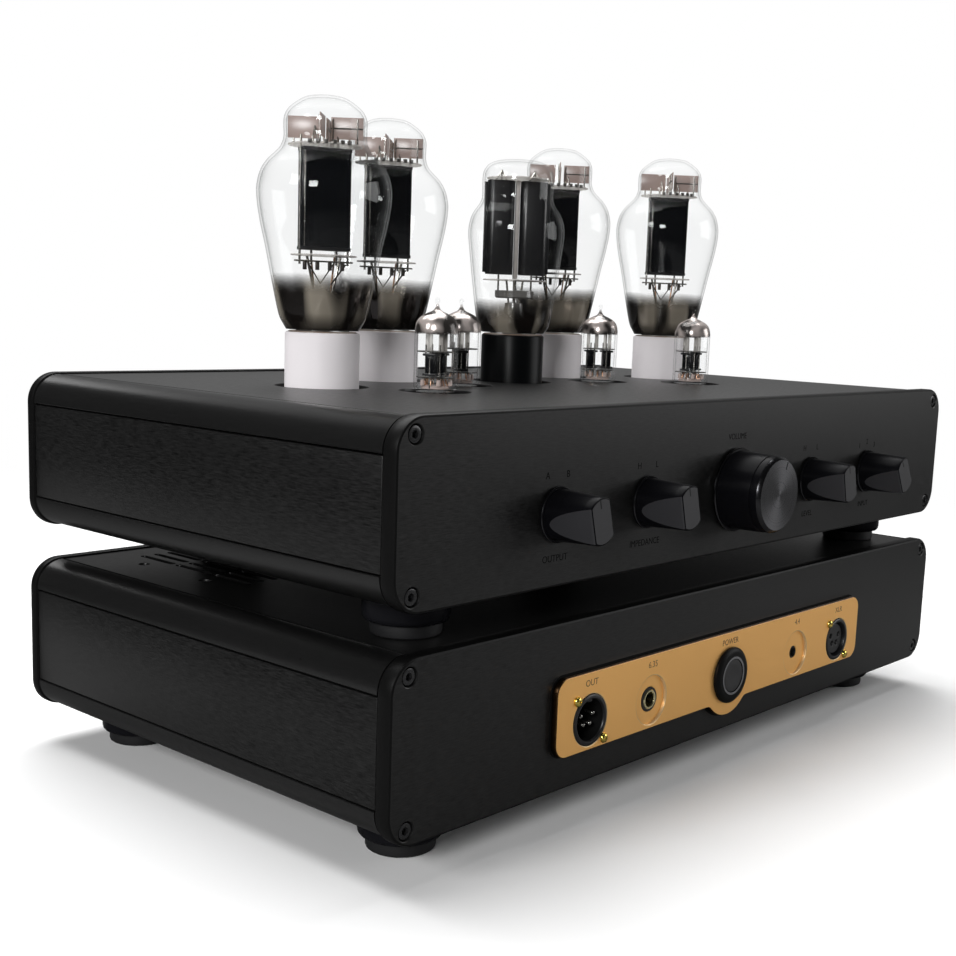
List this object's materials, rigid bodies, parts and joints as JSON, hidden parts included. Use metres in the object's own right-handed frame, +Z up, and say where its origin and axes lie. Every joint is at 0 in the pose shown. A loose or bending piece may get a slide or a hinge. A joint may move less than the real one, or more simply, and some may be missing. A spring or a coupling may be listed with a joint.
{
  "type": "headphone amplifier",
  "caption": "Valve headphone amplifier on its separate power supply: two black round-cornered boxes, bulb-shaped valves on top, row of knobs, gold socket panel.",
  "frame": {"origin": "under the middle of the whole outline, on the surface that the lower feet stand on", "axes": "+X to the right seen from the front, +Y from the front plates to the back, +Z up"},
  "size_m": [0.45, 0.29, 0.312],
  "materials": {
    "black_anodised": "brushed, black anodised, satin",
    "foot_black": "black anodised aluminium with a rubber end",
    "knob_black": "black anodised, fine turned grain, polished edges",
    "gold_anodised": "champagne gold anodised, satin face, polished bevel",
    "connector_black": "moulded black plastic, satin",
    "jack_gold": "gold plated",
    "switch_black": "satin black with a polished bevel",
    "transformer_lacquer": "black lacquer",
    "control_metal": "fibreglass board with plated metal controls",
    "deck_steel": "zinc plated steel",
    "valve_glass": "clear blown glass",
    "driver_glass": "clear blown glass",
    "ceramic_white": "white glazed ceramic base",
    "base_black": "black phenolic base"
  },
  "bodies": {
    "supply": {"supply_front_plate": "black_anodised", "supply_rear_plate": "black_anodised", "supply_top_panel": "black_anodised", "supply_bottom_panel": "black_anodised", "supply_side_left": "black_anodised", "supply_side_right": "black_anodised", "supply_rail_top_left": "black_anodised", "supply_rail_bottom_left": "black_anodised", "supply_rail_top_right": "black_anodised", "supply_rail_bottom_right": "black_anodised", "supply_foot_front_left": "foot_black", "supply_foot_front_right": "foot_black", "supply_foot_back_left": "foot_black", "supply_foot_back_right": "foot_black", "socket_panel": "gold_anodised", "xlr_plug_output": "connector_black", "xlr_headphone_socket": "connector_black", "jack_6_35": "jack_gold", "jack_4_4": "jack_gold", "power_switch": "switch_black", "mains_inlet": "connector_black", "power_transformer": "transformer_lacquer"},
    "amplifier": {"amplifier_front_plate": "black_anodised", "amplifier_rear_plate": "black_anodised", "amplifier_top_panel": "black_anodised", "amplifier_bottom_panel": "black_anodised", "amplifier_side_left": "black_anodised", "amplifier_side_right": "black_anodised", "amplifier_rail_top_left": "black_anodised", "amplifier_rail_bottom_left": "black_anodised", "amplifier_rail_top_right": "black_anodised", "amplifier_rail_bottom_right": "black_anodised", "amplifier_foot_front_left": "foot_black", "amplifier_foot_front_right": "foot_black", "amplifier_foot_back_left": "foot_black", "amplifier_foot_back_right": "foot_black", "control_board": "control_metal", "valve_deck": "deck_steel", "output_transformers": "transformer_lacquer", "input_sockets": "jack_gold"},
    "power_button": {"power_button": "switch_black"},
    "output_selector_knob": {"output_selector_knob": "knob_black"},
    "impedance_selector_knob": {"impedance_selector_knob": "knob_black"},
    "volume_knob": {"volume_knob": "knob_black"},
    "level_selector_knob": {"level_selector_knob": "knob_black"},
    "input_selector_knob": {"input_selector_knob": "knob_black"},
    "triode_1": {"triode_1_glass": "valve_glass", "triode_1_base": "ceramic_white"},
    "triode_2": {"triode_2_glass": "valve_glass", "triode_2_base": "ceramic_white"},
    "triode_3": {"triode_3_glass": "valve_glass", "triode_3_base": "ceramic_white"},
    "triode_4": {"triode_4_glass": "valve_glass", "triode_4_base": "ceramic_white"},
    "rectifier": {"rectifier_glass": "valve_glass", "rectifier_base": "base_black"},
    "driver_1": {"driver_valve_1": "driver_glass"},
    "driver_2": {"driver_valve_2": "driver_glass"},
    "driver_3": {"driver_valve_3": "driver_glass"},
    "driver_4": {"driver_valve_4": "driver_glass"}
  },
  "joints": [
    {"name": "amplifier_lift", "type": "slide", "parent": "supply", "child": "amplifier", "axis": [0, 0, 1], "range_m": [0, 0.06]},
    {"name": "power_press", "type": "slide", "parent": "supply", "child": "power_button", "axis": [0, 1, 0], "range_m": [0, 0.0025], "stiffness_N_per_m": 400, "springref_m": -0.004},
    {"name": "output_selector_turn", "type": "hinge", "parent": "amplifier", "child": "output_selector_knob", "pos_m": [-0.1342, -0.12, 0.1375], "axis": [0, 1, 0], "range_deg": [0, 30]},
    {"name": "impedance_selector_turn", "type": "hinge", "parent": "amplifier", "child": "impedance_selector_knob", "pos_m": [-0.0719, -0.12, 0.1375], "axis": [0, 1, 0], "range_deg": [0, 30]},
    {"name": "volume_turn", "type": "hinge", "parent": "amplifier", "child": "volume_knob", "pos_m": [0, -0.12, 0.1375], "axis": [0, 1, 0], "range_deg": [-171, 129]},
    {"name": "level_selector_turn", "type": "hinge", "parent": "amplifier", "child": "level_selector_knob", "pos_m": [0.0719, -0.12, 0.1375], "axis": [0, 1, 0], "range_deg": [0, 30]},
    {"name": "input_selector_turn", "type": "hinge", "parent": "amplifier", "child": "input_selector_knob", "pos_m": [0.1342, -0.12, 0.1375], "axis": [0, 1, 0], "range_deg": [0, 60]},
    {"name": "triode_1_pull", "type": "slide", "parent": "amplifier", "child": "triode_1", "axis": [0, 0, 1], "range_m": [0, 0.05]},
    {"name": "triode_2_pull", "type": "slide", "parent": "amplifier", "child": "triode_2", "axis": [0, 0, 1], "range_m": [0, 0.05]},
    {"name": "triode_3_pull", "type": "slide", "parent": "amplifier", "child": "triode_3", "axis": [0, 0, 1], "range_m": [0, 0.05]},
    {"name": "triode_4_pull", "type": "slide", "parent": "amplifier", "child": "triode_4", "axis": [0, 0, 1], "range_m": [0, 0.05]},
    {"name": "rectifier_pull", "type": "slide", "parent": "amplifier", "child": "rectifier", "axis": [0, 0, 1], "range_m": [0, 0.05]},
    {"name": "driver_1_pull", "type": "slide", "parent": "amplifier", "child": "driver_1", "axis": [0, 0, 1], "range_m": [0, 0.05]},
    {"name": "driver_2_pull", "type": "slide", "parent": "amplifier", "child": "driver_2", "axis": [0, 0, 1], "range_m": [0, 0.05]},
    {"name": "driver_3_pull", "type": "slide", "parent": "amplifier", "child": "driver_3", "axis": [0, 0, 1], "range_m": [0, 0.05]},
    {"name": "driver_4_pull", "type": "slide", "parent": "amplifier", "child": "driver_4", "axis": [0, 0, 1], "range_m": [0, 0.05]}
  ]
}
